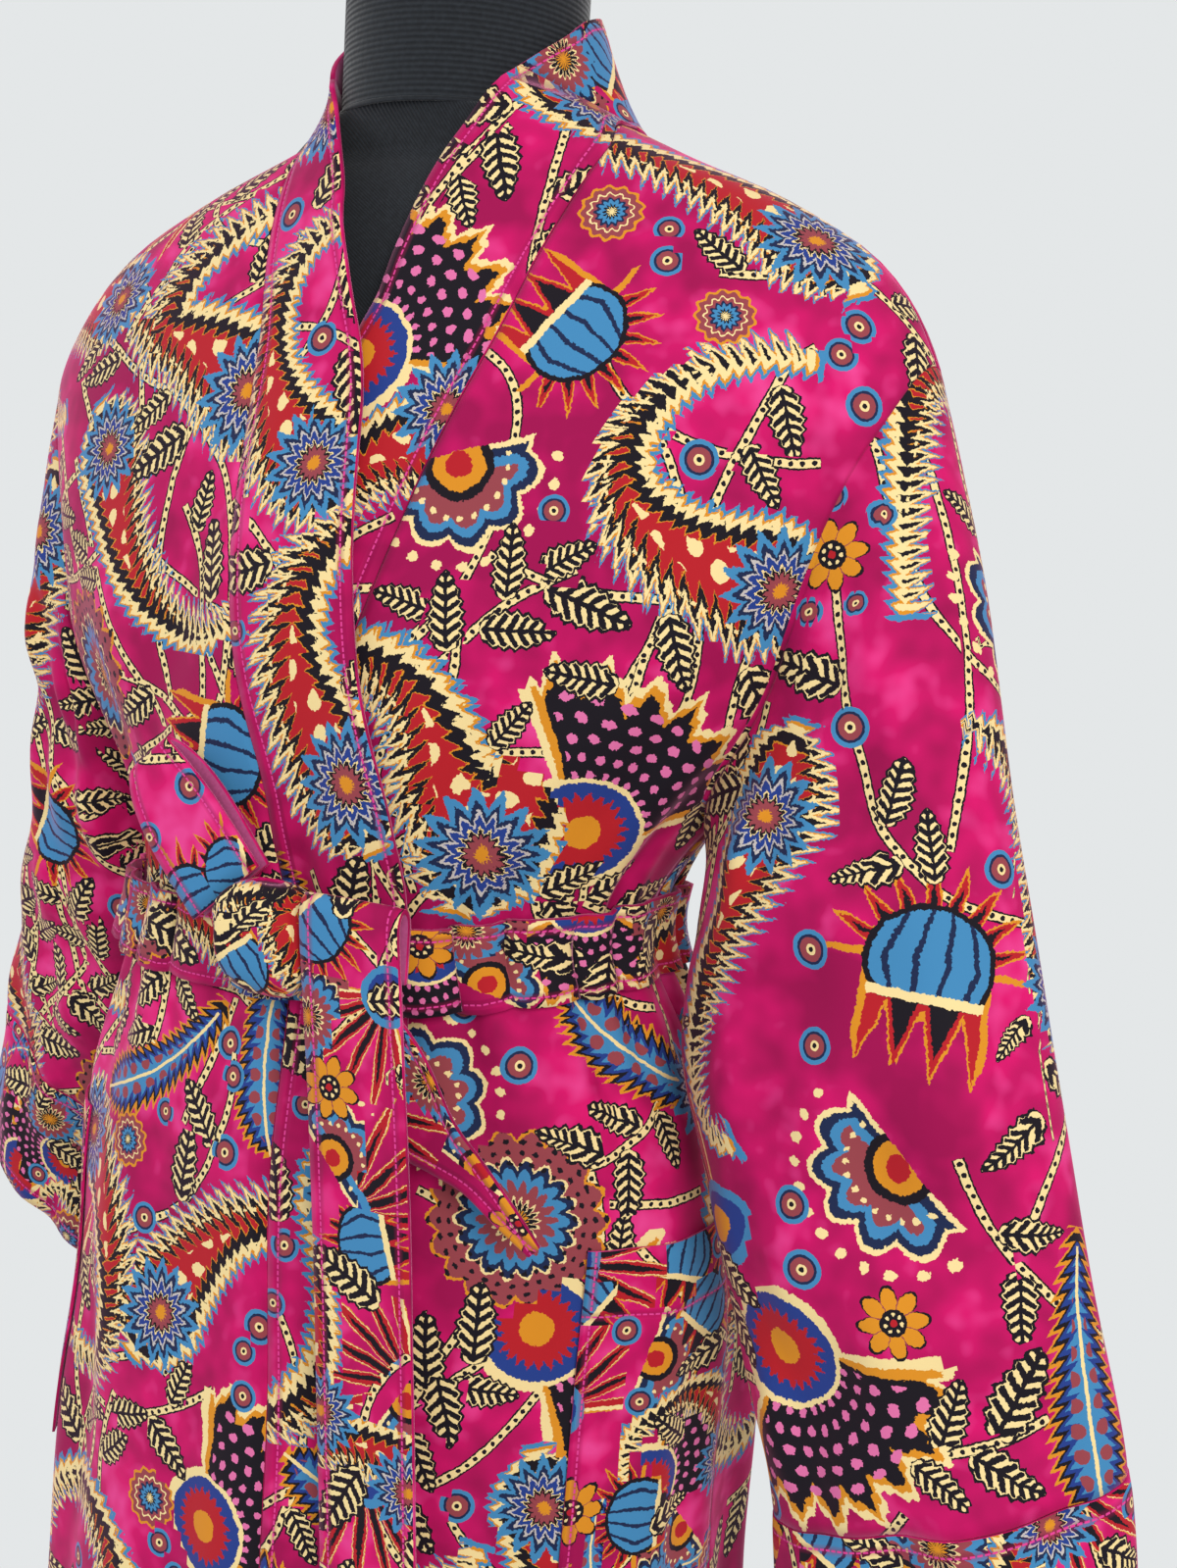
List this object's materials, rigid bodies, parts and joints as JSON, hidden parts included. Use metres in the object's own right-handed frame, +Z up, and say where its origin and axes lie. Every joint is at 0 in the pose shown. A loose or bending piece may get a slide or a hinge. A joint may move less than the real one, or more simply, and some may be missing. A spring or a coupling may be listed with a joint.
{
  "type": "kimono robe on dress form",
  "caption": "Ankle-length wrap robe with wide cuffed sleeves, long neck band, patch pockets and tied belt, worn by a limbless dress form on a pole and round base.",
  "frame": {"origin": "middle of the base's underside", "axes": "+Z up, the robe faces -Y, the wearer's left side is +X"},
  "size_m": [0.7606, 0.37, 1.523],
  "materials": {
    "velvet_panels": "printed cotton velvet, hot pink ground",
    "velvet_sleeves": "printed cotton velvet, hot pink ground",
    "velvet_bands": "printed cotton velvet, doubled, topstitched",
    "velvet_belt": "printed cotton velvet, doubled, topstitched",
    "form_cloth": "black woven cover",
    "stand_metal": "black satin paint"
  },
  "bodies": {
    "root": {"front_left": "velvet_panels", "front_right": "velvet_panels", "back": "velvet_panels", "sleeve_left": "velvet_sleeves", "sleeve_right": "velvet_sleeves", "cuff_left": "velvet_sleeves", "cuff_right": "velvet_sleeves", "band_left_front": "velvet_bands", "band_right_front": "velvet_bands", "band_back_neck": "velvet_bands", "pocket_left": "velvet_panels", "pocket_right": "velvet_panels", "belt_waist": "velvet_belt", "belt_knot": "velvet_belt", "belt_bow_loop": "velvet_belt", "belt_tail_front": "velvet_belt", "belt_tail_side": "velvet_belt", "form_torso": "form_cloth", "form_neck": "form_cloth", "form_neck_cap": "form_cloth", "stand_pole": "stand_metal", "stand_base": "stand_metal"}
  },
  "joints": []
}
